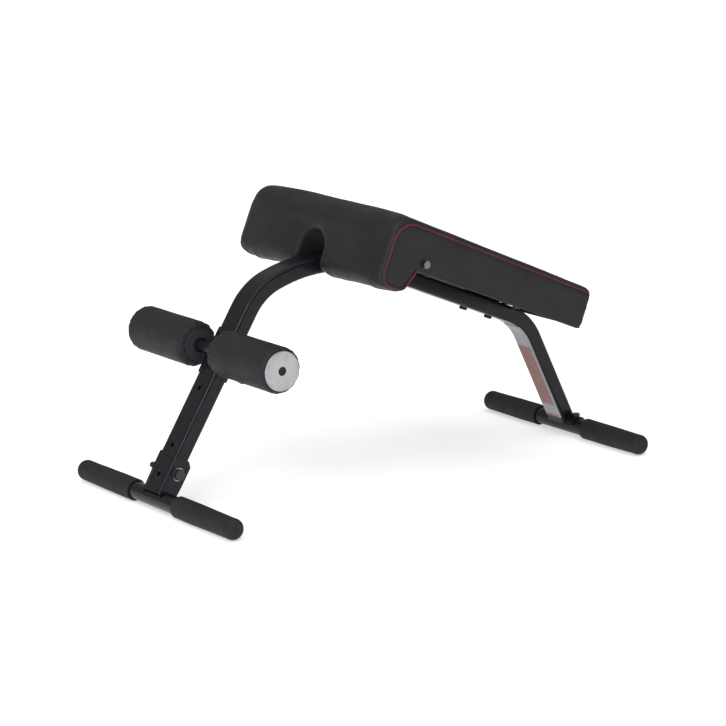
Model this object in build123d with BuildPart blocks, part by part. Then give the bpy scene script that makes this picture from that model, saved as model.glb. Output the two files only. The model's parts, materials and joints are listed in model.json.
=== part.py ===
from build123d import *

import os
from math import cos, radians, sin

# Decline sit up bench: a bent steel frame on two foot tubes, a padded board and a sliding leg hold-down.
# All lengths are millimetres and all angles are degrees.
# X runs across the bench, Y from the leg hold-down (front) to the low end (rear), and Z is up.
# The origin lies on the floor, midway between the two foot tubes.

# Main tube: a rounded rectangle, wide across the bench
tube_width = 50.0
tube_depth = 30.0
tube_corner = 6.0
tube_wall = 2.0

# Line of the front frame: upright, tight knee, long crown, then the sloping rail
foot_spacing = 930.4
upright_lean = 31.5
upright_reach = -423.2
upright_reach_height = 100.0
upright_start = -84.0
upright_end = 275.7
knee_radius = 111.9
knee_turn = 38.4
crown_radius = 326.2
decline = 22.1
front_rail_length = 257.0
rear_rail_length = 69.3
heel_radius = 110.2
rear_leg_lean = 27.0
rear_leg_length = 193.6
crown_turn = 90 - upright_lean + decline - knee_turn
heel_turn = 90 - decline - rear_leg_lean

# Feet
foot_tube_radius = 16.0
foot_tube_wall = 2.0
foot_height = 20.0
front_foot_half = 250.5
rear_foot_half = 231.5
front_grip_start = 70.0
rear_grip_start = 68.0
grip_straight = 60.0
grip_radius = 20.0
grip_tip_radius = 18.8
grip_end_wall = 6.5
grip_tip_round = 11.0

# Front foot bracket, measured along the upright from its reference point
plate_thickness = 3.0
plate_top = -9.0
plate_bottom = -88.0
plate_front = 14.0
plate_back = -22.0
plate_top_chamfer = 9.0
plate_bottom_taper = 28.0
plate_corner = 2.0
foot_bolt_place = -38.0
foot_bolt_offset = -3.0
foot_bolt_radius = 5.0
foot_bolt_hex = 10.4
foot_bolt_head = 7.0
foot_bolt_nut = 12.0
foot_bolt_end = 28.0
foot_washer_radius = 12.0
washer_thickness = 2.0

# Small fasteners: M8 bolts, their heads and nuts
small_bolt_radius = 4.0
bolt_hole_clearance = 0.2
hex_radius = 7.5
small_head_height = 5.3
small_nut_height = 6.5

# Joint in the rail: a sleeve inside both tubes, bolted from below
coupler_length = 118.0
coupler_width = 45.7
coupler_depth = 25.7
coupler_corner = 3.9
coupler_wall = 2.5
joint_bolt_places = (front_rail_length - 32.0, front_rail_length + 32.0)
joint_bolt_length = 13.0
joint_nut_gap = 0.15

# Rear foot saddle
saddle_half = 46.0
saddle_thickness = 3.0
saddle_bolt_place = 37.0
saddle_low_edge = 6.0
saddle_bolt_inner = 6.0

# Holes in the upright, measured along it
index_hole_radius = 4.2
index_pitch = 55.35
index_top = 171.6
front_face_holes = (116.2, 5.5, -50.8)

# Leg hold-down carriage
carriage_centre = 187.5
carriage_length = 88.0
carriage_clearance = 0.4
carriage_wall = 2.5
cross_tube_radius = 9.5
cross_tube_wall = 2.0
cross_tube_half = 208.0
gusset_place = 14.0
gusset_thickness = 4.0
gusset_height = 26.0
gusset_reach = 8.0
collar_radius = 13.0
collar_width = 4.5
collar_gap = 0.5
plug_length = 20.0

# Foam rollers
roller_inner = 41.0
roller_outer = 216.0
core_start = 38.0
core_end = 207.4
roller_radius = 41.4
roller_corner = 9.0
core_bore_radius = 9.56
core_radius = 12.5
disc_radius = 35.0
disc_thickness = 2.5
disc_hole_radius = 8.0
disc_rim_round = 1.0
inner_flange_radius = 29.0
screw_head_radius = 6.0
screw_head_height = 4.4
screw_socket_radius = 3.0
screw_socket_depth = 2.6
roller_washer_radius = 11.9

# Pull pin on the back of the carriage, measured rearwards from the upright's back face
pin_radius = 4.0
pin_hole_clearance = 0.2
pin_travel = 8.0
pin_tip = 0.5
housing_radius = 7.5
housing_end = 23.5
housing_cap = 2.0
spring_bore_radius = 5.5
stem_radius = 2.6
pin_collar_start = 11.9
pin_collar_end = 13.7
pin_collar_radius = 5.2
pin_chamfer = 1.0
stem_clearance = 0.2
spring_radius = 4.2
spring_wire_radius = 0.5
spring_pitch = 1.5
spring_turns = 4
spring_gap = 0.8
knob_gap = 0.5
knob_start = housing_end + pin_travel + knob_gap
knob_length = 19.0
knob_neck = 5.0
knob_radius = 14.0
knob_neck_radius = 9.0
knob_round = 3.0
stem_in_knob = 12.0

# Pad, measured along the rail from the start of its straight run, and up from its top face
pad_half_width = 220.0
pad_front = -150.3
pad_rear = 329.0
pad_bottom = -7.5
pad_front_top = 77.0
pad_rear_top = 63.0
nose_bottom = -52.0
nose_rear = -96.0
nose_inner = -78.0
pad_rear_slant = 6.0
nose_low_round = 16.0
nose_inner_round = 8.0
pad_rear_low_round = 7.0
pad_rear_top_round = 9.0
pad_front_top_round = 28.0
notch_half_width = 36.0
notch_top = 14.0
notch_depth = 82.0
rail_relief = 0.5
rail_relief_half = 29.0
board_thickness = 15.0
board_front = -80.0
board_rear = 321.0
board_margin = 8.0
board_corner = 18.0
bracket_thickness = 3.0
bracket_length = 300.0
bracket_width = 46.0
bracket_places = (14.0, 240.0)
bracket_corner = 6.0
pad_bolt_spread = 100.0
tee_barrel_radius = 5.0
tee_flange_radius = 9.0
tee_flange_thickness = 1.5
side_bolt_along = -71.0
side_bolt_up = 6.5
side_bolt_radius = 3.0
side_bolt_length = 45.0
side_washer_radius = 9.0
side_washer_thickness = 1.5

# Plain label on the rear leg
label_width = 45.0
label_thickness = 0.4
label_turn = 26.0
label_length = 180.0


upright_along = Vector(0, sin(radians(upright_lean)), cos(radians(upright_lean)))
upright_front = Vector(0, -cos(radians(upright_lean)), sin(radians(upright_lean)))
upright_origin = Vector(0, upright_reach, upright_reach_height)
upright_plane = Plane(origin=upright_origin, x_dir=upright_along, z_dir=(1, 0, 0))
front_foot_axis = Vector(0, -foot_spacing / 2, foot_height)
rear_foot_axis = Vector(0, foot_spacing / 2, foot_height)


def on_upright(along, out, side=0.0):
    """A point given along the upright, forward of its centre line, and across the bench."""
    return upright_origin + upright_along * along + upright_front * out + Vector(side, 0, 0)


def bore_along_x(point, radius, reach):
    """Cut a round hole along X through the part being built."""
    with Locations(point):
        Cylinder(radius, reach, rotation=(0, 90, 0), mode=Mode.SUBTRACT)


def rod(plane, *steps, mode=Mode.ADD):
    """Add round steps (start, end, radius) along a plane's normal to the part being built."""
    for start, end, radius in steps:
        with Locations(plane.offset(start)):
            Cylinder(radius, end - start, align=(Align.CENTER, Align.CENTER, Align.MIN), mode=mode)


def bore(plane, *steps):
    """Cut round steps (start, end, radius) along a plane's normal from the part being built."""
    rod(plane, *steps, mode=Mode.SUBTRACT)


def save(part, name):
    """Label a finished part and write it to its own file."""
    part.label = name
    export_step(part, "parts/" + name + ".step")


os.makedirs("parts", exist_ok=True)

# ---------------------------------------------------------------- main tube
with BuildLine(Plane.YZ) as front_path:
    upright_line = Line(on_upright(upright_start, 0), on_upright(upright_end, 0))
    knee_arc = JernArc(
        start=upright_line @ 1, tangent=upright_line % 1, radius=knee_radius, arc_size=-knee_turn
    )
    crown_arc = JernArc(
        start=knee_arc @ 1, tangent=knee_arc % 1, radius=crown_radius, arc_size=-crown_turn
    )
    front_rail_line = Line(crown_arc @ 1, crown_arc @ 1 + (crown_arc % 1) * front_rail_length)

rail_along = crown_arc % 1
rail_up = Vector(1, 0, 0).cross(rail_along)
rail_joint = front_rail_line @ 1

with BuildLine(Plane.YZ) as rear_path:
    rear_rail_line = Line(rail_joint, rail_joint + rail_along * rear_rail_length)
    heel_arc = JernArc(
        start=rear_rail_line @ 1, tangent=rear_rail_line % 1, radius=heel_radius, arc_size=-heel_turn
    )
    rear_leg_line = Line(heel_arc @ 1, heel_arc @ 1 + (heel_arc % 1) * rear_leg_length)

pad_plane = Plane(
    origin=(crown_arc @ 1) + rail_up * (tube_depth / 2), x_dir=rail_along, z_dir=(1, 0, 0)
)


def on_pad(along, up, side=0.0):
    """A point given along the rail from its straight start, up from its top face, and across the bench."""
    return pad_plane.from_local_coords((along, up, side))


foot_bolt_centre = on_upright(foot_bolt_place, foot_bolt_offset)
foot_bolt_hole = foot_bolt_radius + bolt_hole_clearance


def wall_plane(along, out, facing):
    """A plane just outside the upright's front or back wall, looking into it."""
    return Plane(origin=on_upright(along, out), x_dir=(1, 0, 0), z_dir=upright_front * facing)


with BuildPart() as front_frame:
    with BuildSketch(Plane(origin=upright_line @ 0, x_dir=(1, 0, 0), z_dir=upright_line % 0)):
        RectangleRounded(tube_width, tube_depth, tube_corner)
        RectangleRounded(
            tube_width - 2 * tube_wall,
            tube_depth - 2 * tube_wall,
            tube_corner - tube_wall,
            mode=Mode.SUBTRACT,
        )
    sweep(path=front_path.line)
    bore_along_x(front_foot_axis, foot_tube_radius, 2 * tube_width)
    for place in front_face_holes:
        bore(wall_plane(place, tube_depth / 2 + 1, -1), (0, tube_wall + 2, index_hole_radius))
    for place in (index_top, index_top - index_pitch, index_top - 2 * index_pitch):
        bore(wall_plane(place, -tube_depth / 2 - 1, 1), (0, tube_wall + 2, index_hole_radius))
    bore_along_x(foot_bolt_centre, foot_bolt_hole, 2 * tube_width)
    for place in joint_bolt_places[:1]:
        bore(
            Plane(origin=on_pad(place, -tube_depth - 1), x_dir=(1, 0, 0), z_dir=rail_up),
            (0, tube_wall + 2, small_bolt_radius + bolt_hole_clearance),
        )
save(front_frame.part, "front_frame_tube")

with BuildPart() as rear_leg:
    with BuildSketch(Plane(origin=rail_joint, x_dir=(1, 0, 0), z_dir=rail_along)):
        RectangleRounded(tube_width, tube_depth, tube_corner)
        RectangleRounded(
            tube_width - 2 * tube_wall,
            tube_depth - 2 * tube_wall,
            tube_corner - tube_wall,
            mode=Mode.SUBTRACT,
        )
    sweep(path=rear_path.line)
    bore_along_x(rear_foot_axis, foot_tube_radius + saddle_thickness, 2 * tube_width)
    for place in joint_bolt_places[1:]:
        bore(
            Plane(origin=on_pad(place, -tube_depth - 1), x_dir=(1, 0, 0), z_dir=rail_up),
            (0, tube_wall + 2, small_bolt_radius + bolt_hole_clearance),
        )
save(rear_leg.part, "rear_leg_tube")

with BuildPart() as coupler:
    with BuildSketch(
        Plane(origin=rail_joint - rail_along * (coupler_length / 2), x_dir=(1, 0, 0), z_dir=rail_along)
    ):
        RectangleRounded(coupler_width, coupler_depth, coupler_corner)
        RectangleRounded(
            coupler_width - 2 * coupler_wall,
            coupler_depth - 2 * coupler_wall,
            coupler_corner - coupler_wall,
            mode=Mode.SUBTRACT,
        )
    extrude(amount=coupler_length)
    for place in joint_bolt_places:
        bore(
            Plane(origin=on_pad(place, -tube_depth - 1), x_dir=(1, 0, 0), z_dir=rail_up),
            (0, tube_wall + coupler_wall + 3, small_bolt_radius + bolt_hole_clearance),
        )
save(coupler.part, "rail_coupler")

with BuildPart() as joint_bolts:
    for place in joint_bolt_places:
        bolt_plane = Plane(origin=on_pad(place, -tube_depth), x_dir=(1, 0, 0), z_dir=rail_up)
        with BuildSketch(bolt_plane):
            RegularPolygon(hex_radius, 6)
        extrude(amount=-small_head_height)
        rod(bolt_plane, (0, joint_bolt_length, small_bolt_radius))
save(joint_bolts.part, "rail_joint_bolts")

with BuildPart() as joint_nuts:
    for place in joint_bolt_places:
        nut_plane = Plane(
            origin=on_pad(place, -tube_depth + tube_wall + joint_nut_gap + coupler_wall),
            x_dir=(1, 0, 0),
            z_dir=rail_up,
        )
        with BuildSketch(nut_plane):
            RegularPolygon(hex_radius, 6)
            Circle(small_bolt_radius, mode=Mode.SUBTRACT)
        extrude(amount=small_nut_height)
save(joint_nuts.part, "rail_joint_nuts")

# ---------------------------------------------------------------- feet
for foot_name, axis_point, half_length, grip_start in (
    ("front", front_foot_axis, front_foot_half, front_grip_start),
    ("rear", rear_foot_axis, rear_foot_half, rear_grip_start),
):
    tube_half = half_length - grip_end_wall
    with BuildPart() as foot_tube:
        with BuildSketch(Plane(origin=axis_point, x_dir=(0, 1, 0), z_dir=(1, 0, 0)).offset(-tube_half)):
            Circle(foot_tube_radius)
            Circle(foot_tube_radius - foot_tube_wall, mode=Mode.SUBTRACT)
        extrude(amount=2 * tube_half)
        if foot_name == "rear":
            for side in (-1, 1):
                bore(
                    Plane(origin=axis_point + Vector(side * saddle_bolt_place, 0, 0), z_dir=(0, 0, 1)),
                    (0, foot_tube_radius + 1, small_bolt_radius + bolt_hole_clearance),
                )
    save(foot_tube.part, foot_name + "_foot_tube")

    for side, side_name in ((-1, "left"), (1, "right")):
        with BuildPart() as grip:
            with BuildSketch(Plane(origin=axis_point, x_dir=(side, 0, 0), z_dir=(0, -1, 0))):
                with BuildLine():
                    Polyline(
                        (grip_start, foot_tube_radius),
                        (grip_start, grip_radius),
                        (grip_start + grip_straight, grip_radius),
                        (half_length, grip_tip_radius),
                        (half_length, 0),
                        (tube_half, 0),
                        (tube_half, foot_tube_radius),
                        close=True,
                    )
                make_face()
            revolve(axis=Axis(axis_point, (1, 0, 0)))
            tip_edges = grip.edges().filter_by(GeomType.CIRCLE).sort_by(Axis.X)
            fillet(tip_edges[-1] if side > 0 else tip_edges[0], radius=grip_tip_round)
        save(grip.part, foot_name + "_grip_" + side_name)

for side, side_name in ((-1, "left"), (1, "right")):
    inner_face = tube_width / 2 if side > 0 else -tube_width / 2 - plate_thickness
    with BuildPart() as foot_plate:
        with BuildSketch(upright_plane.offset(inner_face)):
            Polygon(
                (plate_bottom, plate_front - plate_corner),
                (plate_top - plate_corner, plate_front),
                (plate_top, plate_front - plate_corner),
                (plate_top, plate_back + plate_top_chamfer),
                (plate_top - plate_top_chamfer, plate_back),
                (plate_bottom + plate_bottom_taper, plate_back),
                (plate_bottom, plate_back + plate_corner),
                align=None,
            )
        extrude(amount=plate_thickness)
        bore_along_x(front_foot_axis, foot_tube_radius, 4 * tube_width)
        bore_along_x(foot_bolt_centre, foot_bolt_hole, 4 * tube_width)
    save(foot_plate.part, "front_foot_plate_" + side_name)

cross_bolt_plane = Plane(origin=foot_bolt_centre, x_dir=upright_along, z_dir=(1, 0, 0))
plate_face = tube_width / 2 + plate_thickness
with BuildPart() as foot_bolt:
    with BuildSketch(cross_bolt_plane.offset(plate_face + washer_thickness)):
        RegularPolygon(foot_bolt_hex, 6)
    extrude(amount=foot_bolt_head)
    rod(cross_bolt_plane, (-plate_face - foot_bolt_end, plate_face + washer_thickness, foot_bolt_radius))
save(foot_bolt.part, "front_foot_bolt")

with BuildPart() as foot_washers:
    for start in (plate_face, -plate_face - washer_thickness):
        with BuildSketch(cross_bolt_plane.offset(start)):
            Circle(foot_washer_radius)
            Circle(foot_bolt_radius, mode=Mode.SUBTRACT)
        extrude(amount=washer_thickness)
save(foot_washers.part, "front_foot_washers")

with BuildPart() as foot_nut:
    with BuildSketch(cross_bolt_plane.offset(-plate_face - washer_thickness)):
        RegularPolygon(foot_bolt_hex, 6)
        Circle(foot_bolt_radius, mode=Mode.SUBTRACT)
    extrude(amount=-foot_bolt_nut)
save(foot_nut.part, "front_foot_nut")

with BuildPart() as saddle:
    with BuildSketch(Plane(origin=rear_foot_axis, x_dir=(0, 1, 0), z_dir=(1, 0, 0)).offset(-saddle_half)):
        Circle(foot_tube_radius + saddle_thickness)
        Circle(foot_tube_radius, mode=Mode.SUBTRACT)
        with Locations((0, saddle_low_edge)):
            Rectangle(
                4 * foot_tube_radius,
                4 * foot_tube_radius,
                align=(Align.CENTER, Align.MAX),
                mode=Mode.SUBTRACT,
            )
    extrude(amount=2 * saddle_half)
    for side in (-1, 1):
        bore(
            Plane(origin=rear_foot_axis + Vector(side * saddle_bolt_place, 0, 0), z_dir=(0, 0, 1)),
            (0, foot_tube_radius + saddle_thickness + 1, small_bolt_radius + bolt_hole_clearance),
        )
save(saddle.part, "rear_foot_saddle")

with BuildPart() as saddle_bolts:
    for side in (-1, 1):
        bolt_plane = Plane(origin=rear_foot_axis + Vector(side * saddle_bolt_place, 0, 0), z_dir=(0, 0, 1))
        head_start = foot_tube_radius + saddle_thickness
        with BuildSketch(bolt_plane.offset(head_start)):
            RegularPolygon(hex_radius, 6)
        extrude(amount=small_head_height)
        rod(bolt_plane, (saddle_bolt_inner, head_start, small_bolt_radius))
save(saddle_bolts.part, "rear_saddle_bolts")

# ---------------------------------------------------------------- leg hold-down carriage
sleeve_inner_width = tube_width + 2 * carriage_clearance
sleeve_inner_depth = tube_depth + 2 * carriage_clearance
sleeve_inner_corner = tube_corner + carriage_clearance
sleeve_front = sleeve_inner_depth / 2 + carriage_wall
cross_tube_offset = sleeve_front + cross_tube_radius
cross_tube_centre = on_upright(carriage_centre, cross_tube_offset)
pin_plane = Plane(origin=on_upright(index_top, -tube_depth / 2), x_dir=(1, 0, 0), z_dir=-upright_front)
sleeve_back = carriage_clearance + carriage_wall

with BuildPart() as carriage:
    with BuildSketch(
        Plane(
            origin=on_upright(carriage_centre - carriage_length / 2, 0),
            x_dir=(1, 0, 0),
            z_dir=upright_along,
        )
    ):
        RectangleRounded(
            sleeve_inner_width + 2 * carriage_wall,
            sleeve_inner_depth + 2 * carriage_wall,
            sleeve_inner_corner + carriage_wall,
        )
        RectangleRounded(sleeve_inner_width, sleeve_inner_depth, sleeve_inner_corner, mode=Mode.SUBTRACT)
    extrude(amount=carriage_length)
    bore(pin_plane, (0, sleeve_back + 1, pin_radius + pin_hole_clearance))
save(carriage.part, "carriage_sleeve")

with BuildPart() as tube_gussets:
    for side in (-1, 1):
        with BuildSketch(upright_plane.offset(side * gusset_place - gusset_thickness / 2)):
            with Locations((carriage_centre, sleeve_front + gusset_reach / 2)):
                Rectangle(gusset_height, gusset_reach)
        extrude(amount=gusset_thickness)
    bore_along_x(cross_tube_centre, cross_tube_radius, 2 * tube_width)
save(tube_gussets.part, "cross_tube_gussets")

cross_tube_plane = Plane(origin=cross_tube_centre, x_dir=(0, 1, 0), z_dir=(1, 0, 0))
with BuildPart() as cross_tube:
    with BuildSketch(cross_tube_plane.offset(-cross_tube_half)):
        Circle(cross_tube_radius)
        Circle(cross_tube_radius - cross_tube_wall, mode=Mode.SUBTRACT)
    extrude(amount=2 * cross_tube_half)
save(cross_tube.part, "roller_cross_tube")

with BuildPart() as stop_collars:
    for side in (-1, 1):
        side_plane = Plane(origin=cross_tube_centre, x_dir=(0, 1, 0), z_dir=(side, 0, 0))
        rod(side_plane, (core_start - collar_gap - collar_width, core_start - collar_gap, collar_radius))
    bore_along_x(cross_tube_centre, cross_tube_radius, 2 * cross_tube_half)
save(stop_collars.part, "roller_stop_collars")

with BuildPart() as tube_plugs:
    for side in (-1, 1):
        side_plane = Plane(origin=cross_tube_centre, x_dir=(0, 1, 0), z_dir=(side, 0, 0))
        plug_start = cross_tube_half - plug_length
        rod(side_plane, (plug_start, cross_tube_half, cross_tube_radius - cross_tube_wall))
        bore(side_plane, (plug_start, cross_tube_half, small_bolt_radius))
save(tube_plugs.part, "cross_tube_plugs")

with BuildPart() as roller_washers:
    for side in (-1, 1):
        side_plane = Plane(origin=cross_tube_centre, x_dir=(0, 1, 0), z_dir=(side, 0, 0))
        rod(side_plane, (cross_tube_half, cross_tube_half + washer_thickness, roller_washer_radius))
        bore(side_plane, (cross_tube_half, cross_tube_half + washer_thickness, small_bolt_radius))
save(roller_washers.part, "roller_washers")

with BuildPart() as roller_screws:
    for side in (-1, 1):
        side_plane = Plane(origin=cross_tube_centre, x_dir=(0, 1, 0), z_dir=(side, 0, 0))
        head_start = cross_tube_half + washer_thickness
        rod(
            side_plane,
            (cross_tube_half - plug_length, head_start, small_bolt_radius),
            (head_start, head_start + screw_head_height, screw_head_radius),
        )
        with BuildSketch(side_plane.offset(head_start + screw_head_height)):
            RegularPolygon(screw_socket_radius, 6)
        extrude(amount=-screw_socket_depth, mode=Mode.SUBTRACT)
save(roller_screws.part, "roller_screws")

for side, side_name in ((-1, "left"), (1, "right")):
    side_plane = Plane(origin=cross_tube_centre, x_dir=(0, 1, 0), z_dir=(side, 0, 0))

    with BuildPart() as roller_core:
        rod(side_plane, (core_start, core_end, core_radius))
        bore(side_plane, (core_start - 1, core_end + 1, core_bore_radius))
    save(roller_core.part, "roller_core_" + side_name)

    with BuildPart() as inner_flange:
        rod(side_plane, (core_start, roller_inner, inner_flange_radius))
        bore(side_plane, (core_start - 1, roller_inner + 1, core_radius))
    save(inner_flange.part, "roller_inner_flange_" + side_name)

    with BuildPart() as foam:
        rod(side_plane, (roller_inner, roller_outer, roller_radius))
        fillet(foam.edges().filter_by(GeomType.CIRCLE), radius=roller_corner)
        bore(side_plane, (roller_inner - 1, roller_outer + 1, core_radius))
    save(foam.part, "foam_roller_" + side_name)

    with BuildPart() as end_disc:
        rod(side_plane, (roller_outer, roller_outer + disc_thickness, disc_radius))
        disc_rims = end_disc.edges().filter_by(GeomType.CIRCLE).sort_by(Axis.X)
        fillet(disc_rims[-1] if side > 0 else disc_rims[0], radius=disc_rim_round)
        bore(side_plane, (roller_outer - 1, roller_outer + disc_thickness + 1, disc_hole_radius))
    save(end_disc.part, "roller_end_disc_" + side_name)

# ---------------------------------------------------------------- pull pin
with BuildPart() as pin_housing:
    rod(pin_plane, (sleeve_back, housing_end, housing_radius))
    bore(pin_plane, (sleeve_back, housing_end - housing_cap, spring_bore_radius))
    bore(pin_plane, (housing_end - housing_cap - 1, housing_end + 1, stem_radius + stem_clearance))
save(pin_housing.part, "pin_housing")

with BuildPart() as pin:
    rod(
        pin_plane,
        (pin_tip, pin_collar_start, pin_radius),
        (pin_collar_start, pin_collar_end, pin_collar_radius),
        (pin_collar_end, knob_start + stem_in_knob, stem_radius),
    )
    chamfer(
        pin.edges().filter_by(GeomType.CIRCLE).sort_by(Axis(pin_plane.origin, pin_plane.z_dir))[0],
        length=pin_chamfer,
    )
save(pin.part, "pull_pin")

with BuildPart() as pin_spring:
    with BuildLine():
        coil = Helix(
            pitch=spring_pitch,
            height=spring_turns * spring_pitch,
            radius=spring_radius,
            center=pin_plane.from_local_coords((0, 0, pin_collar_end + spring_gap)),
            direction=pin_plane.z_dir,
        )
    with BuildSketch(Plane(origin=coil @ 0, z_dir=coil % 0)):
        Circle(spring_wire_radius)
    sweep(is_frenet=True)
save(pin_spring.part, "pull_pin_spring")

with BuildPart() as pin_knob:
    rod(
        pin_plane,
        (knob_start, knob_start + knob_neck, knob_neck_radius),
        (knob_start + knob_neck, knob_start + knob_length, knob_radius),
    )
    knob_circles = pin_knob.edges().filter_by(GeomType.CIRCLE)
    knob_rims = knob_circles.filter_by(lambda edge: edge.radius > knob_neck_radius + 1)
    fillet(knob_rims, radius=knob_round)
    bore(pin_plane, (knob_start - 1, knob_start + stem_in_knob, stem_radius))
save(pin_knob.part, "pull_pin_knob")

# ---------------------------------------------------------------- pad
notch_plane = Plane(origin=on_pad(pad_front, 0), x_dir=(1, 0, 0), z_dir=-rail_along)
side_bolt_centre = on_pad(side_bolt_along, side_bolt_up)

with BuildPart() as board:
    with BuildSketch(Plane(origin=on_pad(0, bracket_thickness), x_dir=(1, 0, 0), z_dir=rail_up)):
        with Locations((0, (board_front + board_rear) / 2)):
            RectangleRounded(2 * (pad_half_width - board_margin), board_rear - board_front, board_corner)
    extrude(amount=board_thickness)
    for along in bracket_places:
        for side in (-1, 1):
            nut_plane = Plane(
                origin=on_pad(along + bracket_width / 2, bracket_thickness, side * pad_bolt_spread),
                x_dir=(1, 0, 0),
                z_dir=rail_up,
            )
            bore(
                nut_plane,
                (0, board_thickness, tee_barrel_radius),
                (board_thickness - tee_flange_thickness, board_thickness + 1, tee_flange_radius),
            )
    for side in (-1, 1):
        edge_plane = Plane(origin=side_bolt_centre, x_dir=rail_along, z_dir=(side, 0, 0))
        bore(edge_plane, (pad_half_width - side_bolt_length, pad_half_width, side_bolt_radius))
save(board.part, "pad_board")

with BuildPart() as cushion:
    with BuildSketch(pad_plane.offset(-pad_half_width)):
        with BuildLine():
            FilletPolyline(
                (pad_front, nose_bottom),
                (nose_rear, nose_bottom),
                (nose_inner, pad_bottom),
                (pad_rear, pad_bottom),
                (pad_rear - pad_rear_slant, pad_rear_top),
                (pad_front, pad_front_top),
                radius=(
                    nose_low_round,
                    nose_low_round,
                    nose_inner_round,
                    pad_rear_low_round,
                    pad_rear_top_round,
                    pad_front_top_round,
                ),
                close=True,
            )
        make_face()
    extrude(amount=2 * pad_half_width)
    with BuildSketch(notch_plane):
        with Locations((0, notch_top - notch_half_width)):
            Rectangle(2 * notch_half_width, -nose_bottom, align=(Align.CENTER, Align.MAX))
            Circle(notch_half_width)
    extrude(amount=-notch_depth, mode=Mode.SUBTRACT)
    with BuildSketch(Plane(origin=on_pad(0, pad_bottom - 1), x_dir=(1, 0, 0), z_dir=rail_up)):
        with Locations((0, (board_front + board_rear) / 2)):
            RectangleRounded(2 * (pad_half_width - board_margin), board_rear - board_front, board_corner)
    extrude(amount=bracket_thickness + board_thickness - pad_bottom + 1, mode=Mode.SUBTRACT)
    with BuildSketch(pad_plane.offset(-rail_relief_half)):
        with Locations(((board_rear + pad_rear) / 2, pad_bottom)):
            Rectangle(2 * (pad_rear - board_rear) + 2, 2 * (rail_relief - pad_bottom))
    extrude(amount=2 * rail_relief_half, mode=Mode.SUBTRACT)
    bore_along_x(side_bolt_centre, side_bolt_radius, 3 * pad_half_width)
save(cushion.part, "pad_cushion")

for along, place_name in zip(bracket_places, ("front", "rear")):
    with BuildPart() as pad_bracket:
        bracket_centre = on_pad(along + bracket_width / 2, 0)
        with BuildSketch(Plane(origin=bracket_centre, x_dir=(1, 0, 0), z_dir=rail_up)):
            RectangleRounded(bracket_length, bracket_width, bracket_corner)
            with Locations((-pad_bolt_spread, 0), (pad_bolt_spread, 0)):
                Circle(small_bolt_radius, mode=Mode.SUBTRACT)
        extrude(amount=bracket_thickness)
    save(pad_bracket.part, "pad_bracket_" + place_name)

with BuildPart() as pad_bolts:
    for along in bracket_places:
        for side in (-1, 1):
            bolt_plane = Plane(
                origin=on_pad(along + bracket_width / 2, 0, side * pad_bolt_spread),
                x_dir=(1, 0, 0),
                z_dir=rail_up,
            )
            with BuildSketch(bolt_plane):
                RegularPolygon(hex_radius, 6)
            extrude(amount=-small_head_height)
            rod(bolt_plane, (0, bracket_thickness + board_thickness - 2, small_bolt_radius))
save(pad_bolts.part, "pad_bolts")

with BuildPart() as tee_nuts:
    for along in bracket_places:
        for side in (-1, 1):
            nut_plane = Plane(
                origin=on_pad(along + bracket_width / 2, bracket_thickness, side * pad_bolt_spread),
                x_dir=(1, 0, 0),
                z_dir=rail_up,
            )
            rod(
                nut_plane,
                (0, board_thickness, tee_barrel_radius),
                (board_thickness - tee_flange_thickness, board_thickness, tee_flange_radius),
            )
            bore(nut_plane, (0, board_thickness, small_bolt_radius))
save(tee_nuts.part, "pad_tee_nuts")

with BuildPart() as side_bolts:
    for side in (-1, 1):
        edge_plane = Plane(origin=side_bolt_centre, x_dir=rail_along, z_dir=(side, 0, 0))
        head_start = pad_half_width + side_washer_thickness
        rod(edge_plane, (pad_half_width - side_bolt_length, head_start, side_bolt_radius))
        with BuildSketch(edge_plane.offset(head_start)):
            RegularPolygon(hex_radius, 6)
        extrude(amount=small_head_height)
save(side_bolts.part, "pad_side_bolts")

with BuildPart() as side_washers:
    for side in (-1, 1):
        edge_plane = Plane(origin=side_bolt_centre, x_dir=rail_along, z_dir=(side, 0, 0))
        rod(edge_plane, (pad_half_width, pad_half_width + side_washer_thickness, side_washer_radius))
        bore(edge_plane, (pad_half_width, pad_half_width + side_washer_thickness, side_bolt_radius))
save(side_washers.part, "pad_side_washers")

# ---------------------------------------------------------------- plain label on the rear leg's front face
label_start = 1 - label_turn / heel_turn
with BuildLine(Plane.YZ) as label_path:
    label_bend = JernArc(
        start=heel_arc @ label_start,
        tangent=heel_arc % label_start,
        radius=heel_radius,
        arc_size=-label_turn,
    )
    label_run = Line(label_bend @ 1, label_bend @ 1 + (label_bend % 1) * label_length)

with BuildPart() as leg_label:
    with BuildSketch(Plane(origin=label_bend @ 0, x_dir=(1, 0, 0), z_dir=label_bend % 0)):
        RectangleRounded(
            tube_width + 2 * label_thickness,
            tube_depth + 2 * label_thickness,
            tube_corner + label_thickness,
        )
        RectangleRounded(tube_width, tube_depth, tube_corner, mode=Mode.SUBTRACT)
        Rectangle(label_width, tube_depth, align=(Align.CENTER, Align.MIN), mode=Mode.INTERSECT)
    sweep(path=label_path.line)
save(leg_label.part, "leg_label")
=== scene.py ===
import json
import math

import bmesh
import bpy
import numpy as np
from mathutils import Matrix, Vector, noise


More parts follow.
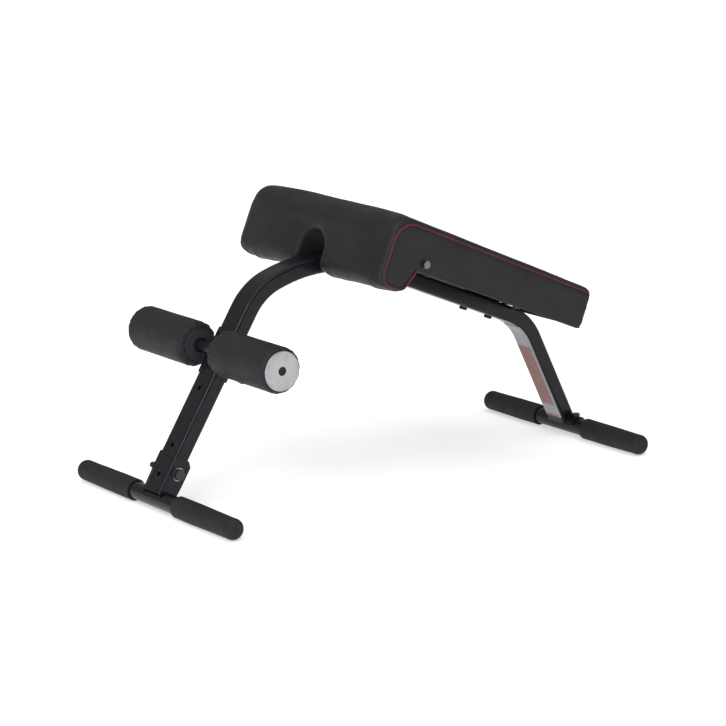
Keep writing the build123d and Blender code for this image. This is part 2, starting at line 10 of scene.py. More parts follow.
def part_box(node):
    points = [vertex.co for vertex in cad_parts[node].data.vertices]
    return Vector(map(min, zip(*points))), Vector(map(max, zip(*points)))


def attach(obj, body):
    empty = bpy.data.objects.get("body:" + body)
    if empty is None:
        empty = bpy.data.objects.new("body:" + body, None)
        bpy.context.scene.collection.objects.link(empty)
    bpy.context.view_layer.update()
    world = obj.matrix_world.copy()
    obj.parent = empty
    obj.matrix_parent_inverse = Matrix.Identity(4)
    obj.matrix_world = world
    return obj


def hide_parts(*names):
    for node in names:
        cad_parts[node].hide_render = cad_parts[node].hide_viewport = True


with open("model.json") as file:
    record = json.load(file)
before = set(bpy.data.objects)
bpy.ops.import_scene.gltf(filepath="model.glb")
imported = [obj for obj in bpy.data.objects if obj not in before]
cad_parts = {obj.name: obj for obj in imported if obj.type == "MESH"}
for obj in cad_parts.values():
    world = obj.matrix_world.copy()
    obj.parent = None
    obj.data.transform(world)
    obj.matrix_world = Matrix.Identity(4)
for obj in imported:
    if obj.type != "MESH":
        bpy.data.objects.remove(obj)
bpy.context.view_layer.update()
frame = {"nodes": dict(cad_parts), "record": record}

scene = bpy.context.scene


# ---------------------------------------------------------------- materials
class Nodes:
    """A short way to write a node material."""

    def __init__(self, name):
        self.material = bpy.data.materials.new(name)
        self.material.use_nodes = True
        self.tree = self.material.node_tree
        self.shader = self.tree.nodes["Principled BSDF"]
        self.place = self.add("ShaderNodeTexCoord").outputs["Object"]

    def add(self, kind, inputs=None, **settings):
        """A new node with its settings, and its inputs set or linked."""
        node = self.tree.nodes.new(kind)
        for key, value in settings.items():
            setattr(node, key, value)
        for key, value in (inputs or {}).items():
            self.put(node.inputs[key], value)
        return node

    def put(self, socket, value):
        """Link an output to a socket, or set the socket's own value."""
        if isinstance(value, bpy.types.NodeSocket):
            self.tree.links.new(value, socket)
        else:
            socket.default_value = value

    def set(self, **values):
        """Set or link the shader's inputs, with _ for a space in their names."""
        for key, value in values.items():
            self.put(self.shader.inputs[key.replace("_", " ")], value)

    def noise(self, scale, detail=3.0, roughness=0.5, place=None):
        """Noise over the object's own coordinates, from 0 to 1."""
        inputs = {"Vector": place or self.place, "Scale": scale, "Detail": detail, "Roughness": roughness}
        return self.add("ShaderNodeTexNoise", inputs).outputs["Fac"]

    def cells(self, scale, feature="DISTANCE_TO_EDGE", place=None):
        """Distance within cells."""
        inputs = {"Vector": place or self.place, "Scale": scale}
        return self.add("ShaderNodeTexVoronoi", inputs, feature=feature).outputs["Distance"]

    def math(self, operation, a, b=0.0, clamp=False):
        """One arithmetic step."""
        return self.add("ShaderNodeMath", {0: a, 1: b}, operation=operation, use_clamp=clamp).outputs[0]

    def ramp(self, value, low, high, start=0.0, end=1.0):
        """A value spread from one range to another, held at its ends."""
        inputs = {"Value": value, "From Min": low, "From Max": high, "To Min": start, "To Max": end}
        return self.add("ShaderNodeMapRange", inputs).outputs["Result"]

    def mix(self, factor, a, b):
        """Two colours mixed by a factor."""
        node = self.add("ShaderNodeMix", data_type="RGBA")
        self.put(node.inputs["Factor"], factor)
        self.put(node.inputs["A"], a)
        self.put(node.inputs["B"], b)
        return node.outputs["Result"]

    def bump(self, height, strength, distance, normal=None):
        """A bumped normal."""
        inputs = {"Height": height, "Strength": strength, "Distance": distance}
        if normal:
            inputs["Normal"] = normal
        return self.add("ShaderNodeBump", inputs).outputs["Normal"]

    def edges(self, low=0.53, high=0.62):
        """1 on sharp outer edges, 0 elsewhere."""
        point = self.add("ShaderNodeNewGeometry").outputs["Pointiness"]
        return self.ramp(point, low, high)


def grey(level, red=0.0, blue=0.0):
    """An RGBA grey, a little warmer or cooler."""
    return (level + red, level, level + blue, 1.0)


def vinyl_material(name, dark, light, grain=520.0, bump=0.22, rough=(0.46, 0.6)):
    """Grained vinyl: pebbled cells, fine wrinkles, colour variation and edges rubbed a little lighter."""
    n = Nodes(name)
    cells = n.cells(grain)
    fine = n.noise(grain * 2.4, 4.0, 0.6)
    slow = n.noise(9.0, 4.0, 0.6)
    cloud = n.mix(n.ramp(slow, 0.3, 0.7), dark, light)
    worn = n.math("MULTIPLY", n.edges(0.52, 0.6), n.ramp(n.noise(60.0), 0.4, 0.7))
    rubbed = tuple(min(1.0, c * 2.1) for c in light[:3]) + (1.0,)
    n.set(Base_Color=n.mix(n.math("MULTIPLY", worn, 0.35), cloud, rubbed))
    n.set(Roughness=n.ramp(n.noise(34.0, 4.0), 0.3, 0.7, rough[0], rough[1]))
    n.set(Specular_IOR_Level=0.26)
    pebble = n.math("MULTIPLY", n.math("MINIMUM", cells, 0.25), 3.0)
    first = n.bump(pebble, bump, 0.0004)
    second = n.bump(fine, bump * 0.6, 0.0003, first)
    n.set(Normal=n.bump(n.noise(26.0, 3.0), 0.1, 0.004, second))
    return n.material


def foam_material(name, dark, light, rough=(0.62, 0.8)):
    """Matt closed-cell foam with pores and slight scuffs."""
    n = Nodes(name)
    slow = n.noise(14.0, 4.0, 0.6)
    scuff = n.ramp(n.noise(95.0, 5.0, 0.7), 0.58, 0.75)
    base = n.mix(n.ramp(slow, 0.3, 0.7), dark, light)
    lifted = tuple(min(1.0, c * 1.7) for c in light[:3]) + (1.0,)
    n.set(Base_Color=n.mix(n.math("MULTIPLY", scuff, 0.4), base, lifted))
    n.set(Roughness=n.ramp(n.noise(48.0, 3.0), 0.3, 0.7, rough[0], rough[1]))
    n.set(Specular_IOR_Level=0.2)
    pores = n.bump(n.cells(900.0, "F1"), 0.3, 0.0004)
    n.set(Normal=n.bump(n.noise(55.0, 4.0), 0.12, 0.002, pores))
    return n.material


def paint_material(name, base, chip, rough=(0.2, 0.3), wear=0.08):
    """Gloss powder paint: orange peel, dust in the dull patches, and edges worn towards bare metal."""
    n = Nodes(name)
    dust = n.ramp(n.noise(18.0, 5.0, 0.65), 0.5, 0.78)
    lifted = tuple(c + 0.003 for c in base[:3]) + (1.0,)
    body = n.mix(dust, base, lifted)
    worn = n.math("MULTIPLY", n.edges(0.54, 0.66), n.ramp(n.noise(140.0, 4.0), 0.45, 0.62))
    n.set(Base_Color=n.mix(n.math("MULTIPLY", worn, wear), body, chip))
    n.set(Metallic=n.math("MULTIPLY", worn, wear * 0.6))
    n.set(Roughness=n.ramp(n.noise(42.0, 4.0), 0.3, 0.7, rough[0], rough[1]))
    n.set(Specular_IOR_Level=0.2, Coat_Weight=0.07, Coat_Roughness=0.12)
    n.set(Normal=n.bump(n.noise(420.0, 2.0), 0.03, 0.0004))
    return n.material


def metal_material(name, dark, light, rough=(0.24, 0.4), stretch=(1.0, 1.0, 1.0), grain=900.0):
    """Plated or blackened steel: fine grain, patches of tarnish and bright worn edges."""
    n = Nodes(name)
    mapping = n.add("ShaderNodeMapping", {"Vector": n.place, "Scale": stretch}).outputs["Vector"]
    brush = n.noise(grain, 4.0, 0.6, mapping)
    patch = n.ramp(n.noise(70.0, 4.0, 0.6), 0.35, 0.7)
    bright = tuple(min(1.0, c * 1.35) for c in light[:3]) + (1.0,)
    n.set(Base_Color=n.mix(n.math("MULTIPLY", n.edges(), 0.6), n.mix(patch, dark, light), bright))
    n.set(Metallic=1.0)
    n.set(Roughness=n.ramp(brush, 0.3, 0.7, rough[0], rough[1]))
    n.set(Normal=n.bump(brush, 0.08, 0.0002))
    return n.material


def plastic_material(name, dark, light, rough=(0.4, 0.55)):
    """Moulded plastic with a fine spark texture and lighter rubbed edges."""
    n = Nodes(name)
    base = n.mix(n.ramp(n.noise(30.0, 3.0), 0.3, 0.7), dark, light)
    rubbed = tuple(min(1.0, c * 2.0) for c in light[:3]) + (1.0,)
    n.set(Base_Color=n.mix(n.math("MULTIPLY", n.edges(), 0.4), base, rubbed))
    n.set(Roughness=n.ramp(n.noise(85.0, 3.0), 0.3, 0.7, rough[0], rough[1]))
    n.set(Normal=n.bump(n.noise(1300.0, 2.0), 0.12, 0.0003))
    return n.material


def wood_material(name):
    """Plywood painted black, its veneer showing where the paint is thin."""
    n = Nodes(name)
    stretched = n.add("ShaderNodeMapping", {"Vector": n.place, "Scale": (60.0, 6.0, 60.0)}).outputs["Vector"]
    veneer = n.noise(6.0, 6.0, 0.65, stretched)
    base = n.mix(n.ramp(veneer, 0.35, 0.7), (0.01, 0.0095, 0.009, 1.0), (0.022, 0.02, 0.018, 1.0))
    bare = n.math("MULTIPLY", n.edges(), n.ramp(n.noise(50.0, 4.0), 0.5, 0.66))
    n.set(Base_Color=n.mix(n.math("MULTIPLY", bare, 0.2), base, (0.2, 0.14, 0.09, 1.0)))
    n.set(Roughness=n.ramp(veneer, 0.3, 0.7, 0.55, 0.75))
    n.set(Normal=n.bump(veneer, 0.25, 0.0006))
    return n.material


charcoal = vinyl_material("charcoal_vinyl", grey(0.009, 0.0008, 0.0006), grey(0.013, 0.0008, 0.0006))
red_vinyl = vinyl_material(
    "dark_red_vinyl", (0.05, 0.009, 0.013, 1.0), (0.075, 0.013, 0.018, 1.0), grain=900.0, bump=0.15
)
roller_vinyl = vinyl_material(
    "roller_cover_vinyl",
    grey(0.011, 0.0008, 0.0008),
    grey(0.016, 0.0008, 0.001),
    grain=700.0,
    rough=(0.55, 0.72),
)
grip_foam = foam_material("grip_foam", grey(0.014, 0.0008, 0.0008), grey(0.02, 0.0008, 0.0008))
black_paint = paint_material("black_powder_paint", (0.005, 0.005, 0.007, 1.0), (0.09, 0.09, 0.09, 1.0))
black_oxide = metal_material("black_oxide_steel", grey(0.03), grey(0.055), rough=(0.35, 0.5))
zinc = metal_material("zinc_plate", grey(0.2), grey(0.3, 0.0, 0.01))
silver = metal_material("satin_silver", grey(0.37), grey(0.44), rough=(0.3, 0.42))
black_plastic = plastic_material("black_plastic", grey(0.014), grey(0.02))
black_board = wood_material("painted_plywood")


def wear(node, material):
    """Give a CAD node's object a material on its own slots."""
    body = frame["nodes"][node]
    if not body.material_slots:
        body.data.materials.append(material)
    for place in body.material_slots:
        place.link = "OBJECT"
        place.material = material


finishes = {
    "painted": black_paint,
    "dark_steel": black_oxide,
    "zinc": zinc,
    "plastic": black_plastic,
    "disc": silver,
    "wood": black_board,
    "grip": grip_foam,
    "foam": roller_vinyl,
    "vinyl": charcoal,
    "label": black_plastic,
}
for part in frame["record"]["subparts"]:
    wear(part["node"], finishes[part["material_slot"]])

dull_zinc = metal_material("dull_zinc", grey(0.11), grey(0.17), rough=(0.3, 0.45))
wear("pad_side_bolts", dull_zinc)
for node in ("pad_side_washers", "pad_bolts"):
    wear(node, black_oxide)


# ---------------------------------------------------------------- places
def corners(node):
    """A CAD node's lowest and highest corner as vectors."""
    low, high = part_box(node)
    return Vector(low), Vector(high)


decline = math.radians(22.1)
rail_along = Vector((0.0, math.cos(decline), -math.sin(decline)))
rail_up = Vector((0.0, math.sin(decline), math.cos(decline)))
half_width = corners("pad_cushion")[1].x
# From the pad's foremost point to the start of the measures along the rail
nose_reach = 0.1503
side_wall = 0.008


def reach(node, direction):
    """How far a CAD node reaches along a direction, lowest and highest."""
    ends = [direction.dot(v.co) for v in frame["nodes"][node].data.vertices]
    return min(ends), max(ends)


pad_front_reach, pad_rear_reach = reach("pad_cushion", rail_along)
board_front_reach, board_rear_reach = reach("pad_board", rail_along)
rail_top_reach = reach("pad_bracket_front", rail_up)[0]
pad_start = rail_along * (pad_front_reach + nose_reach) + rail_up * rail_top_reach


def on_pad(along, up, side=0.0):
    """A point by metres along the rail, up from its top face, and across the bench."""
    return pad_start + rail_along * along + rail_up * up + Vector((side, 0.0, 0.0))


def from_pad(point):
    """The same three measures of a point."""
    offset = Vector(point) - pad_start
    return offset.dot(rail_along), offset.dot(rail_up), offset.x


pad_rear = pad_rear_reach - pad_front_reach - nose_reach
board_front = board_front_reach - pad_front_reach - nose_reach
board_rear = board_rear_reach - pad_front_reach - nose_reach


# ---------------------------------------------------------------- mesh helpers
def make(name, build, smooth=True):
    """An object from a bmesh, linked to the scene."""
    mesh = bpy.data.meshes.new(name)
    build.to_mesh(mesh)
    build.free()
    piece = bpy.data.objects.new(name, mesh)
    scene.collection.objects.link(piece)
    if smooth:
        mesh.polygons.foreach_set("use_smooth", [True] * len(mesh.polygons))
    return piece


def rounded(points, radii, steps=8):
    """Points of a flat outline with each corner rounded to its radius."""
    result = []
    count = len(points)
    for i, (point, radius) in enumerate(zip(points, radii)):
        here = Vector(point)
        if radius < 1e-6:
            result.append(here)
            continue
        before = (Vector(points[i - 1]) - here).normalized()
        after = (Vector(points[(i + 1) % count]) - here).normalized()
        half = before.angle(after) / 2
        back = radius / math.tan(half)
        start = here + before * back
        stop = here + after * back
        centre = here + (before + after).normalized() * (radius / math.sin(half))
        for k in range(steps + 1):
            blend = k / steps
            result.append(centre + (start - centre).slerp(stop - centre, blend) * radius)
    return result


def prism(name, outline, low, high, place):
    """A closed solid: a flat outline carried from one side to the other."""
    build = bmesh.new()
    rings = [[build.verts.new(place(p, side)) for p in outline] for side in (low, high)]
    count = len(outline)
    for i in range(count):
        j = (i + 1) % count
        build.faces.new((rings[0][i], rings[0][j], rings[1][j], rings[1][i]))
    build.faces.new(rings[0][::-1])
    build.faces.new(rings[1])
    bmesh.ops.recalc_face_normals(build, faces=build.faces)
    return make(name, build)


def applied(piece):
    """Bake a piece's modifiers into its mesh and drop them."""
    bpy.context.view_layer.update()
    graph = bpy.context.evaluated_depsgraph_get()
    mesh = bpy.data.meshes.new_from_object(piece.evaluated_get(graph))
    piece.modifiers.clear()
    old = piece.data
    piece.data = mesh
    bpy.data.meshes.remove(old)


def cut(piece, tool):
    """Cut one closed piece by another and drop the tool."""
    change = piece.modifiers.new("cut", "BOOLEAN")
    change.operation = "DIFFERENCE"
    change.solver = "EXACT"
    change.object = tool
    applied(piece)
    bpy.data.objects.remove(tool)


def pipe(name, path, radius, material, body, sides=10):
    """A round bead along a path, closed at both ends."""
    build = bmesh.new()
    rings = []
    count = len(path)
    across = Vector((1.0, 0.0, 0.0))
    for i, point in enumerate(path):
        ahead = path[min(i + 1, count - 1)] - path[max(i - 1, 0)]
        ahead.normalize()
        out = across - ahead * across.dot(ahead)
        out.normalize()
        up = ahead.cross(out)
        taper = 0.55 if i in (0, count - 1) else 1.0
        ring = []
        for k in range(sides):
            turn = 2 * math.pi * k / sides
            spoke = out * math.cos(turn) + up * math.sin(turn)
            ring.append(build.verts.new(point + spoke * radius * taper))
        rings.append(ring)
    for first, second in zip(rings, rings[1:]):
        for k in range(sides):
            m = (k + 1) % sides
            build.faces.new((first[k], first[m], second[m], second[k]))
    build.faces.new(rings[0][::-1])
    build.faces.new(rings[-1])
    bmesh.ops.recalc_face_normals(build, faces=build.faces)
    piece = make(name, build)
    piece.data.materials.append(material)
    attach(piece, body)
    return piece


def lathe(name, centre, axis, rings, turns, shape, material, body):
    """A turned skin: shape(ring index, angle) gives (distance along the axis, radius)."""
    build = bmesh.new()
    side = axis.orthogonal().normalized()
    other = axis.cross(side)
    grid = []
    for i in range(rings):
        row = []
        for k in range(turns):
            angle = 2 * math.pi * k / turns
            along, radius = shape(i, angle)
            spoke = side * math.cos(angle) + other * math.sin(angle)
            row.append(build.verts.new(centre + axis * along + spoke * radius))
        grid.append(row)
    for first, second in zip(grid, grid[1:]):
        for k in range(turns):
            m = (k + 1) % turns
            build.faces.new((first[k], first[m], second[m], second[k]))
    for row in (grid[0], grid[-1]):
        build.faces.new(row)
    bmesh.ops.recalc_face_normals(build, faces=build.faces)
    piece = make(name, build)
    piece.data.materials.append(material)
    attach(piece, body)
    return piece


# ---------------------------------------------------------------- pad
edge_round = 0.024
profile_points = (
    (-0.159, -0.056),
    (-0.097, -0.056),
    (-0.078, -0.007),
    (pad_rear, -0.007),
    (pad_rear - 0.002, 0.069),
    (-0.159, 0.078),
)
profile_radii = (0.016, 0.017, 0.008, 0.006, 0.010, 0.034)
# How far each edge of the outline, starting at the matching corner, draws in at the sides
profile_draw = (0.004, 0.004, 0.0, 0.004, 0.009, 0.008)


def drawn_profile(amount):
    """The pad's outline with its edges drawn in by a share of their full amount."""
    count = len(profile_points)
    lines = []
    for i in range(count):
        a = Vector(profile_points[i])
        b = Vector(profile_points[(i + 1) % count])
        tangent = (b - a).normalized()
        inward = Vector((-tangent.y, tangent.x))
        lines.append((a + inward * profile_draw[i] * amount, tangent))
    result = []
    for i in range(count):
        (p, d), (q, e) = lines[i - 1], lines[i]
        cross = d.x * e.y - d.y * e.x
        step = ((q.x - p.x) * e.y - (q.y - p.y) * e.x) / cross
        result.append(p + d * step)
    return rounded(result, profile_radii)


def pad_blank():
    """The pad's closed form, its outline drawn in towards both sides."""
    build = bmesh.new()
    stations = [-half_width + edge_round * (1 - math.cos(math.pi / 2 * k / 8)) for k in range(9)]
    stations += [half_width * k / 6 for k in range(-5, 6)]
    stations += [-v for v in stations[8::-1]]
    rings = []
    for side in stations:
        depth = max(0.0, (abs(side) - (half_width - edge_round)) / edge_round)
        amount = 1 - math.sqrt(max(0.0, 1 - depth * depth))
        rings.append([build.verts.new(on_pad(p.x, p.y, side)) for p in drawn_profile(amount)])
    count = len(rings[0])
    for first, second in zip(rings, rings[1:]):
        for i in range(count):
            j = (i + 1) % count
            build.faces.new((first[i], first[j], second[j], second[i]))
    build.faces.new(rings[0][::-1])
    build.faces.new(rings[-1])
    bmesh.ops.recalc_face_normals(build, faces=build.faces)
    return make("pad_cover", build)


cover = pad_blank()

# Round-topped notch over the frame's crown
notch_half = 0.036
notch_top = 0.014
notch_spring = notch_top - notch_half
notch_foot = -0.09
arch = [Vector((notch_half, notch_foot)), Vector((notch_half, notch_spring))]
for k in range(1, 16):
    turn = math.pi * k / 16
    arch.append(Vector((notch_half * math.cos(turn), notch_spring + notch_half * math.sin(turn))))
arch += [Vector((-notch_half, notch_spring)), Vector((-notch_half, notch_foot))]
cut(cover, prism("notch_tool", arch, -0.25, -0.0683, lambda p, along: on_pad(along, p.y, p.x)))

# Pocket for the board, and relief for the rail behind it
board_half = half_width - side_wall
pocket = rounded(
    [
        (-board_half, board_front - 0.001),
        (board_half, board_front - 0.001),
        (board_half, board_rear + 0.001),
        (-board_half, board_rear + 0.001),
    ],
    [0.018] * 4,
)
cut(cover, prism("pocket_tool", pocket, -0.03, 0.0185, lambda p, up: on_pad(p.y, up, p.x)))
relief_start, relief_stop = board_rear - 0.01, pad_rear + 0.02
relief = [
    Vector((side, along))
    for side, along in (
        (-0.03, relief_start),
        (0.03, relief_start),
        (0.03, relief_stop),
        (-0.03, relief_stop),
    )
]
cut(cover, prism("relief_tool", relief, -0.03, 0.0008, lambda p, up: on_pad(p.y, up, p.x)))

fine = cover.modifiers.new("remesh", "REMESH")
fine.mode = "VOXEL"
fine.voxel_size = 0.005
applied(cover)
ease = cover.modifiers.new("ease", "SMOOTH")
ease.factor = 0.5
ease.iterations = 2
applied(cover)

# Line of the side seam, where the piping runs: round the nose, up the front and along the top
seam_corners = (
    (-0.0815, -0.006),
    (-0.1010, -0.0503),
    (-0.1512, -0.0503),
    (-0.1505, 0.0665),
    (pad_rear - 0.012, 0.0597),
)
seam_radii = (0.0, 0.017, 0.020, 0.037, 0.0)


def spaced(points, step):
    """The same open line in even short steps."""
    result = [points[0]]
    for start, stop in zip(points, points[1:]):
        pieces = max(1, round((stop - start).length / step))
        result += [start.lerp(stop, k / pieces) for k in range(1, pieces + 1)]
    return result


seam = spaced(rounded(seam_corners, seam_radii, 10), 0.004)
seam_array = np.array([tuple(p) for p in seam])


def to_seam(along, up):
    """Distance of a point on the side from the seam."""
    return float(np.sqrt(((seam_array - (along, up)) ** 2).sum(1)).min())


def held(along, up, side):
    """How firmly a point of the cover is held: seams, underside, pocket and notch."""
    if up < 0.004 and along > -0.074:
        return 1.0
    if up < 0.0195 and abs(side) < board_half + 0.002 and board_front - 0.003 < along < board_rear + 0.003:
        return 1.0
    if abs(side) < notch_half + 0.004 and up < notch_top + 0.004 and along < -0.064:
        return 1.0
    if abs(side) > half_width - 0.012:
        return 1.0 if to_seam(along, up) < 0.008 else 0.0
    return 0.0


def inflate(piece, held_at, cap, pressure=4.0):
    """Blow a closed cover up by cloth simulation, with points held, and cap how far any point moves."""
    pins = piece.vertex_groups.new(name="held")
    firm = [held_at(*from_pad(v.co)) for v in piece.data.vertices]
    pins.add([i for i, f in enumerate(firm) if f > 0.5], 1.0, "REPLACE")
    before = np.empty(len(piece.data.vertices) * 3)
    piece.data.vertices.foreach_get("co", before)
    before = before.reshape(-1, 3)
    change = piece.modifiers.new("cloth", "CLOTH")
    change.settings.vertex_group_mass = "held"
    change.settings.use_pressure = True
    change.settings.uniform_pressure_force = pressure
    change.settings.quality = 4
    change.settings.mass = 0.3
    change.settings.tension_stiffness = 30
    change.settings.compression_stiffness = 30
    change.settings.bending_stiffness = 2.0
    change.settings.effector_weights.gravity = 0.0
    change.collision_settings.use_collision = False
    for step in range(1, 21):
        scene.frame_set(step)
    graph = bpy.context.evaluated_depsgraph_get()
    done = piece.evaluated_get(graph).to_mesh()
    after = np.empty(len(done.vertices) * 3)
    done.vertices.foreach_get("co", after)
    after = after.reshape(-1, 3)
    piece.evaluated_get(graph).to_mesh_clear()
    piece.modifiers.clear()
    scene.frame_set(1)
    moved = after - before
    reach_of = np.sqrt((moved**2).sum(1))
    moved *= np.minimum(1.0, cap / np.maximum(reach_of, 1e-9))[:, None]
    piece.data.vertices.foreach_set("co", (before + moved).ravel())
    piece.vertex_groups.clear()


inflate(cover, held, 0.004)


def settle(piece):
    """Draw the cover in along its seams and round the notch, and let the vinyl ripple slightly."""
    normals = [Vector(v.normal) for v in piece.data.vertices]
    places = [Vector(v.co) for v in piece.data.vertices]
    for place, normal in zip(places, normals):
        along, up, side = from_pad(place)
        shift = Vector((0.0, 0.0, 0.0))
        if abs(side) > half_width - 0.014 and up > -0.06:
            pinch = math.exp(-((to_seam(along, up) / 0.0045) ** 2)) * 0.0014
            shift.x -= math.copysign(pinch, side)
        if along < -0.13:
            rise = max(0.0, up - notch_spring)
            gap = math.hypot(side, rise) - notch_half
            shift += rail_along * 0.002 * math.exp(-((max(gap, 0.0) / 0.006) ** 2))
        ripple = noise.noise(Vector((side * 9, along * 7, up * 9)))
        ripple += 0.5 * noise.noise(Vector((side * 24, along * 20, up * 24)))
        if up > 0.02 or along < -0.1:
            shift += normal * ripple * 0.0007
        if up < -0.045 and along < -0.09:
            for across, depth in lumps:
                near = ((side - across) / 0.009) ** 2 + ((along + 0.133) / 0.02) ** 2
                shift -= rail_up * depth * math.exp(-near)
        place += shift
    piece.data.vertices.foreach_set("co", [c for place in places for c in place])
    piece.data.update()


# Folds of the wrapped vinyl under the nose: (place across, depth)
lumps = (
    (-0.196, 0.003),
    (-0.171, 0.004),
    (-0.147, 0.002),
    (0.058, 0.0035),
    (0.084, 0.002),
    (0.186, 0.003),
)
settle(cover)
finer = cover.modifiers.new("finer", "SUBSURF")
finer.levels = 1
finer.render_levels = 1
cover.data.materials.clear()
cover.data.materials.append(charcoal)
cover.data.polygons.foreach_set("use_smooth", [True] * len(cover.data.polygons))
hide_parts("pad_cushion")
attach(cover, "frame")

hem_steps = 60
hem_start, hem_stop = -0.076, pad_rear - 0.006
for side_name, sign in (("left", -1), ("right", 1)):
    line = [on_pad(p.x, p.y, sign * (half_width - 0.0006)) for p in seam]
    bead = pipe("pad_piping_" + side_name, line, 0.0023, red_vinyl, "frame")

    hem_line = [
        on_pad(hem_start + (hem_stop - hem_start) * k / hem_steps, -0.0058, sign * (half_width - 0.0042))
        for k in range(hem_steps + 1)
    ]
    hem = pipe("pad_hem_" + side_name, hem_line, 0.0036, charcoal, "frame")

# ---------------------------------------------------------------- roller covers
roller_low, roller_high = corners("foam_roller_right")
roller_radius = (roller_high.y - roller_low.y) / 2
roller_centre = Vector((0.0, (roller_high.y + roller_low.y) / 2, (roller_high.z + roller_low.z) / 2))
roller_inner = roller_low.x
roller_outer = roller_high.x
bore_radius = 0.0127


def roller_shape(seed):
    """The length and shape of a gathered roller cover: round shoulders, and folds at both ends."""
    inner_end = roller_inner + 0.0004
    outer_end = roller_outer - 0.0002
    points = [
        (inner_end + 0.007, bore_radius),
        (inner_end + 0.003, 0.02),
        (inner_end + 0.0008, 0.03),
        (inner_end, roller_radius),
        (outer_end, roller_radius),
        (outer_end, bore_radius),
    ]
    radii = [0.0, 0.006, 0.006, 0.0105, 0.0075, 0.0]
    line = spaced(rounded(points, radii, 8), 0.003)

    def shape(i, angle):
        along, radius = line[i]
        ends = 2.6 * math.exp(-(((along - inner_end) / 0.013) ** 2))
        ends += math.exp(-(((outer_end - along) / 0.011) ** 2))
        rim = min(1.0, max(0.0, (radius - 0.02) / 0.012))
        wander = noise.noise(Vector((math.cos(angle) * 2.2, math.sin(angle) * 2.2, seed)))
        fold = math.sin(angle * 15 + 3.5 * wander) + 0.6 * noise.noise(
            Vector((math.cos(angle) * 9, math.sin(angle) * 9, seed + along * 20))
        )
        soft = noise.noise(Vector((math.cos(angle) * 1.5, math.sin(angle) * 1.5, seed + along * 14)))
        body = 0.0005 * soft if radius > 0.035 else 0.0
        radius = radius - 0.0005 + body + 0.00045 * fold * ends * rim
        nudge = 0.0007 * fold * ends * (1 - rim) if radius > bore_radius + 0.004 else 0.0
        if along > (inner_end + outer_end) / 2:
            nudge = -abs(nudge)
        return along + nudge, max(radius, bore_radius)

    return len(line), shape


for side_name, sign, seed in (("left", -1, 3.0), ("right", 1, 11.0)):
    count, shape = roller_shape(seed)
    axis = Vector((float(sign), 0.0, 0.0))
    name = "roller_cover_" + side_name
    body = "roller_" + side_name
    skin = lathe(name, roller_centre, axis, count, 176, shape, roller_vinyl, body)
    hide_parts("foam_roller_" + side_name)

# ---------------------------------------------------------------- foot grips
for foot in ("front", "rear"):
    for side_name, sign in (("left", -1), ("right", 1)):
        node = foot + "_grip_" + side_name
        low, high = corners(node)
        start = min(abs(low.x), abs(high.x))
        stop = max(abs(low.x), abs(high.x))
        outer = (high.z - low.z) / 2
        centre = Vector((0.0, (low.y + high.y) / 2, (low.z + high.z) / 2))
        points = [
            (start + 0.001, 0.0161),
            (start, outer - 0.0022),
            (start + 0.0008, outer),
            (start + 0.06, outer),
            (stop, outer - 0.0012),
            (stop, 0.0048),
            (stop - 0.0012, 0.0036),
            (stop - 0.0012, 0.0002),
        ]
        radii = [0.0, 0.0008, 0.0004, 0.02, 0.0125, 0.0008, 0.0005, 0.0]
        line = spaced(rounded(points, radii, 8), 0.004)

        def grip_shape(i, angle, line=line, start=start, outer=outer, seed=stop * 40 + sign):
            along, radius = line[i]
            soft = noise.noise(Vector((math.cos(angle) * 1.2, math.sin(angle) * 1.2, seed + along * 30)))
            low_side = 0.0 if radius < outer - 0.001 else 0.00025 * (soft - 0.9)
            return along, radius + low_side

        axis = Vector((float(sign), 0.0, 0.0))
        sleeve = lathe(node + "_sleeve", centre, axis, len(line), 64, grip_shape, grip_foam, "frame")
        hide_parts(node)

# ---------------------------------------------------------------- label
label_look = Nodes("plain_banded_label")
leg_lean = math.radians(27)
foot_axis = (corners("rear_foot_tube")[0] + corners("rear_foot_tube")[1]) / 2
away = label_look.add(
    "ShaderNodeVectorMath", {0: label_look.place, 1: tuple(-foot_axis)}, operation="ADD"
).outputs["Vector"]
leg_line = (0.0, -math.sin(leg_lean), math.cos(leg_lean))
up_leg = label_look.add(
    "ShaderNodeVectorMath", {0: away, 1: leg_line}, operation="DOT_PRODUCT"
).outputs["Value"]
across = label_look.add("ShaderNodeSeparateXYZ", {"Vector": label_look.place}).outputs["X"]
red_patch = label_look.ramp(label_look.noise(60.0, 4.0), 0.35, 0.7)
faded = label_look.mix(red_patch, (0.19, 0.078, 0.068, 1.0), (0.225, 0.1, 0.086, 1.0))
pale_patch = label_look.ramp(label_look.noise(80.0, 4.0), 0.35, 0.7)
pale = label_look.mix(pale_patch, (0.24, 0.235, 0.23, 1.0), (0.29, 0.285, 0.278, 1.0))


def band(low, high):
    """1 between two heights up the leg, 0 elsewhere, with a thin soft edge."""
    first = label_look.ramp(up_leg, low - 0.0006, low + 0.0006)
    last = label_look.ramp(up_leg, high - 0.0006, high + 0.0006, 1.0, 0.0)
    return label_look.math("MULTIPLY", first, last)


red_area = label_look.math("ADD", band(0.054, 0.192), band(0.0175, 0.031), clamp=True)
# On the right edge only, beyond about 17 mm across, the red gives way to pale: a painted highlight where the
# leg's rounded corner catches the light
clear_of_painted_highlight = label_look.ramp(across, 0.0165, 0.0178, 1.0, 0.0)
red_area = label_look.math("MULTIPLY", red_area, clear_of_painted_highlight)
label_look.set(Base_Color=label_look.mix(red_area, pale, faded))
label_look.set(Roughness=label_look.ramp(label_look.noise(40.0, 3.0), 0.3, 0.7, 0.34, 0.48))
label_look.set(Normal=label_look.bump(label_look.noise(500.0, 2.0), 0.05, 0.0003))
wear("leg_label", label_look.material)

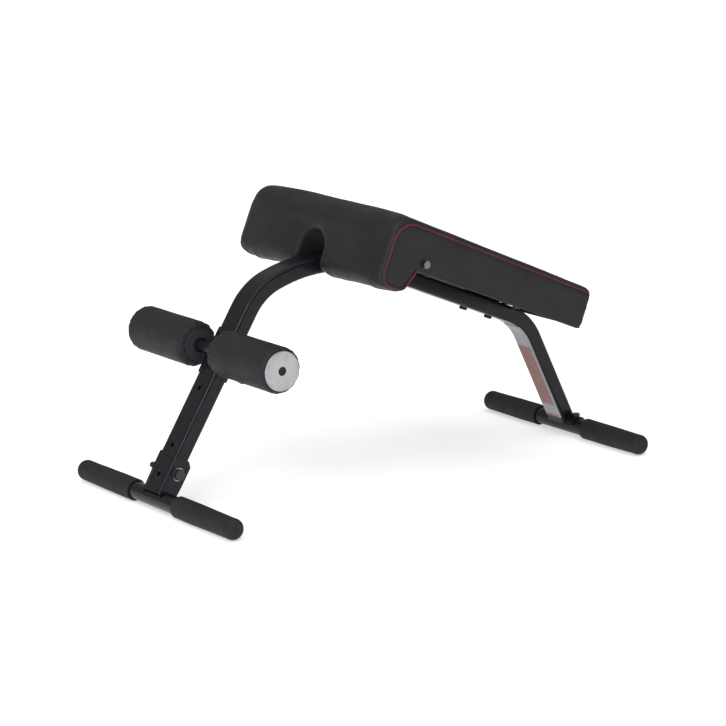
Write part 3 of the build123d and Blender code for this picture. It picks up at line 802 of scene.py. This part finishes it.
# ---------------------------------------------------------------- camera and light
camera_data = bpy.data.cameras.new("camera")
camera_data.lens = 143.2
camera_data.sensor_width = 36.0
camera = bpy.data.objects.new("camera", camera_data)
scene.collection.objects.link(camera)
camera.location = (4.149, -3.069, 1.391)
camera.rotation_euler = (math.radians(90 - 12.99), 0.0, math.radians(53.67))
scene.camera = camera

scene.view_settings.view_transform = "Standard"
scene.view_settings.look = "None"


def area_light(name, place, target, size, power, colour=(1.0, 1.0, 1.0)):
    """A soft square light that faces a point."""
    data = bpy.data.lights.new(name, "AREA")
    data.shape = "SQUARE"
    data.size = size
    data.energy = power
    data.color = colour
    light = bpy.data.objects.new(name, data)
    light.location = place
    light.rotation_euler = (Vector(target) - Vector(place)).to_track_quat("-Z", "Y").to_euler()
    scene.collection.objects.link(light)


middle = (0.0, 0.0, 0.25)
area_light("key", (2.0, -2.6, 2.2), middle, 1.0, 26.0, (0.96, 0.95, 1.0))
area_light("low_rim", (1.5, -1.9, 0.32), middle, 0.45, 14.0, (0.6, 0.62, 1.0))
sun_data = bpy.data.lights.new("sky", "SUN")
sun_data.energy = 1.5
sun_data.angle = math.radians(70)
sun = bpy.data.objects.new("sky", sun_data)
sun.rotation_euler = Vector((-0.3, 0.35, -0.9)).to_track_quat("-Z", "Y").to_euler()
scene.collection.objects.link(sun)

world = bpy.data.worlds.new("studio")
world.use_nodes = True
world.node_tree.nodes["Background"].inputs["Color"].default_value = (1.0, 1.0, 1.0, 1.0)
world.node_tree.nodes["Background"].inputs["Strength"].default_value = 0.42
scene.world = world

floor_build = bmesh.new()
bmesh.ops.create_grid(floor_build, x_segments=1, y_segments=1, size=40.0)
floor = make("floor", floor_build, smooth=False)
floor_look = Nodes("pale_floor")
floor_look.set(Base_Color=(0.8, 0.8, 0.8, 1.0), Roughness=0.9, Specular_IOR_Level=0.1)
floor_look.set(Emission_Color=(1.0, 1.0, 1.0, 1.0), Emission_Strength=0.5)
floor.data.materials.append(floor_look.material)
floor.location.z = -0.0005
